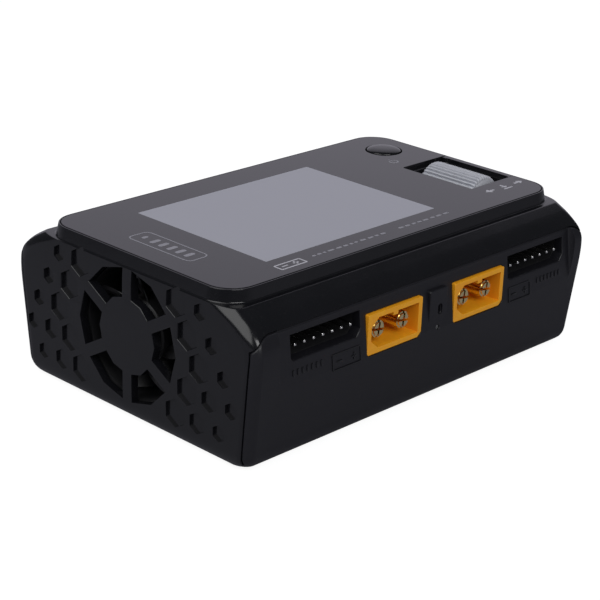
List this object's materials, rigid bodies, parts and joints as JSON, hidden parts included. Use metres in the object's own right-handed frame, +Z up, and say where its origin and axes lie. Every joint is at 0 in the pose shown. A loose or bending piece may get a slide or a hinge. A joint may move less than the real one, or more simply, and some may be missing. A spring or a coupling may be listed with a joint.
{
  "type": "balance battery charger",
  "caption": "Compact desktop charger for model batteries: two-part case with a flat display panel, scroll wheel, push button, fan grille and plug-in outputs.",
  "frame": {"origin": "on the surface the feet rest on, under the middle of the case", "axes": "+X runs right along the connector face, +Y runs from the connector face to the back, +Z is up"},
  "size_m": [0.0994, 0.07, 0.0353],
  "materials": {
    "case_gloss": "glossy black moulded plastic",
    "case_matte": "fine matte black moulded plastic",
    "panel": "smooth black acrylic",
    "display": "unlit display",
    "plated_steel": "nickel plated",
    "dark_steel": "black zinc plated",
    "ribbon": "amber polyimide film",
    "black_plastic": "black moulded plastic",
    "white_plastic": "white moulded plastic",
    "wheel_grey": "light grey satin plastic",
    "tinned": "bright tin plate",
    "gold_plate": "gold plate",
    "amber_nylon": "yellow-orange nylon",
    "copper": "enamelled copper wire",
    "board_green": "green solder mask",
    "heatsink_metal": "extruded aluminium",
    "thermal_pad": "soft grey pad",
    "ferrite": "pressed ferrite",
    "capacitor_sleeve": "aluminium can",
    "clear_plastic": "clear acrylic",
    "foot_rubber": "black rubber"
  },
  "bodies": {
    "case": {"top_shell": "case_gloss", "bottom_shell": "case_matte", "front_panel": "panel", "display_glass": "display", "display_tray": "plated_steel", "display_ribbon": "ribbon", "button_switch": "black_plastic", "wheel_switch": "black_plastic", "wheel_guide_pins": "plated_steel", "balance_socket_left": "black_plastic", "balance_pins_left": "tinned", "balance_socket_right": "black_plastic", "balance_pins_right": "tinned", "output_left": "amber_nylon", "output_pins_left": "gold_plate", "output_right": "amber_nylon", "output_pins_right": "gold_plate", "input_plug": "amber_nylon", "input_pins": "gold_plate", "usb_shell": "plated_steel", "usb_tongue": "white_plastic", "fan_frame": "black_plastic", "fan_bearing": "gold_plate", "fan_stator": "copper", "main_board": "board_green", "display_board": "board_green", "board_link": "black_plastic", "heatsink": "heatsink_metal", "thermal_pads": "thermal_pad", "inductors": "ferrite", "capacitors": "capacitor_sleeve", "power_chips": "black_plastic", "processor": "black_plastic", "buzzer": "black_plastic", "light_pipe": "clear_plastic", "fan_socket": "white_plastic", "board_screws": "plated_steel", "display_screws": "plated_steel", "case_screws": "dark_steel", "feet": "foot_rubber"},
    "fan_rotor": {"fan_rotor": "black_plastic", "fan_shaft": "plated_steel"},
    "wheel_carrier": {"wheel_carrier": "black_plastic"},
    "scroll_wheel": {"scroll_wheel": "wheel_grey", "wheel_shaft": "plated_steel"},
    "wheel_plunger": {"wheel_plunger": "white_plastic"},
    "button_cap": {"button_cap": "case_gloss"},
    "button_plunger": {"button_plunger": "white_plastic"}
  },
  "joints": [
    {"name": "fan_spin", "type": "hinge", "parent": "case", "child": "fan_rotor", "pos_m": [-0.0435, 0.0007, 0.018], "axis": [1, 0, 0], "continuous": true},
    {"name": "wheel_press", "type": "slide", "parent": "case", "child": "wheel_carrier", "axis": [0, 0, -1], "range_m": [0, 0.0004], "stiffness_N_per_m": 900, "springref_m": -0.0002},
    {"name": "wheel_spin", "type": "hinge", "parent": "wheel_carrier", "child": "scroll_wheel", "pos_m": [0.0404, -0.0062, 0.0302], "axis": [0, 1, 0], "continuous": true},
    {"name": "wheel_plunger_press", "type": "slide", "parent": "case", "child": "wheel_plunger", "axis": [0, 0, -1], "range_m": [0, 0.0004]},
    {"name": "button_press", "type": "slide", "parent": "case", "child": "button_cap", "axis": [0, 0, -1], "range_m": [0, 0.00035], "stiffness_N_per_m": 600, "springref_m": -0.0002},
    {"name": "button_plunger_press", "type": "slide", "parent": "case", "child": "button_plunger", "axis": [0, 0, -1], "range_m": [0, 0.00035]}
  ],
  "couplings": [
    {"joint": "wheel_plunger_press", "follows": "wheel_press", "ratio": 1},
    {"joint": "button_plunger_press", "follows": "button_press", "ratio": 1}
  ]
}
